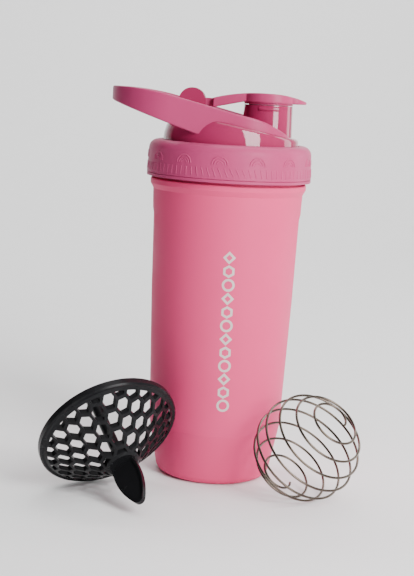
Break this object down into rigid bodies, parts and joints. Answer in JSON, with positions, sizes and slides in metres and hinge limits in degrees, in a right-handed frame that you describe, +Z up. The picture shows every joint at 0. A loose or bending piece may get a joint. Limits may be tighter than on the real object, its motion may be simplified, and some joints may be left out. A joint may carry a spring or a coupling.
{
  "type": "shaker bottle",
  "caption": "Insulated shaker bottle with a screw lid, flip cap, spout and carry loop, set out with its loose strainer and wire whisk ball.",
  "frame": {"origin": "centre of the cup's base, on the surface it stands on", "axes": "+Z up along the cup's axis, +X towards the spout and thumb tab, carry loop towards -X"},
  "size_m": [0.1719, 0.1364, 0.2185],
  "materials": {
    "coated_shell": "matte powder coat",
    "bare_steel": "brushed",
    "coated_base": "matte powder coat",
    "getter": "plain",
    "seal_silicone": "soft satin",
    "gloss_lid": "gloss",
    "satin_band": "satin",
    "satin_loop": "satin",
    "gloss_pin": "gloss",
    "satin_cap": "satin",
    "plug_silicone": "soft satin",
    "black_plastic": "satin",
    "wire_steel": "polished wire"
  },
  "bodies": {
    "cup": {"outer_shell": "coated_shell", "inner_liner": "bare_steel", "base_plate": "coated_base", "vacuum_getter": "getter"},
    "lid_seal": {"lid_gasket": "seal_silicone"},
    "lid": {"lid_core": "gloss_lid", "collar_band": "satin_band", "carry_loop": "satin_loop", "hinge_pin": "gloss_pin"},
    "cap": {"flip_cap": "satin_cap", "spout_seal": "plug_silicone"},
    "strainer": {"strainer": "black_plastic"},
    "ball": {"whisk_ball": "wire_steel"}
  },
  "joints": [
    {"name": "lid_rise", "type": "slide", "parent": "cup", "child": "lid_seal", "axis": [0, 0, 1], "range_m": [0, 0.0181]},
    {"name": "lid_turn", "type": "hinge", "parent": "lid_seal", "child": "lid", "pos_m": [0, 0, 0.18], "axis": [0, 0, 1], "range_deg": [0, 1080]},
    {"name": "cap_flip", "type": "hinge", "parent": "lid", "child": "cap", "pos_m": [-0.0225, 0, 0.211], "axis": [0, -1, 0], "range_deg": [0, 150]},
    {"name": "strainer_lift", "type": "slide", "parent": "cup", "child": "strainer", "axis": [-0.5, 0, 0.866], "range_m": [0, 0.25]},
    {"name": "ball_lift", "type": "slide", "parent": "cup", "child": "ball", "axis": [0.45, -0.35, 0.8216], "range_m": [0, 0.25]}
  ],
  "couplings": [
    {"joint": "lid_rise", "follows": "lid_turn", "m_per_rad": 0.00095493}
  ]
}
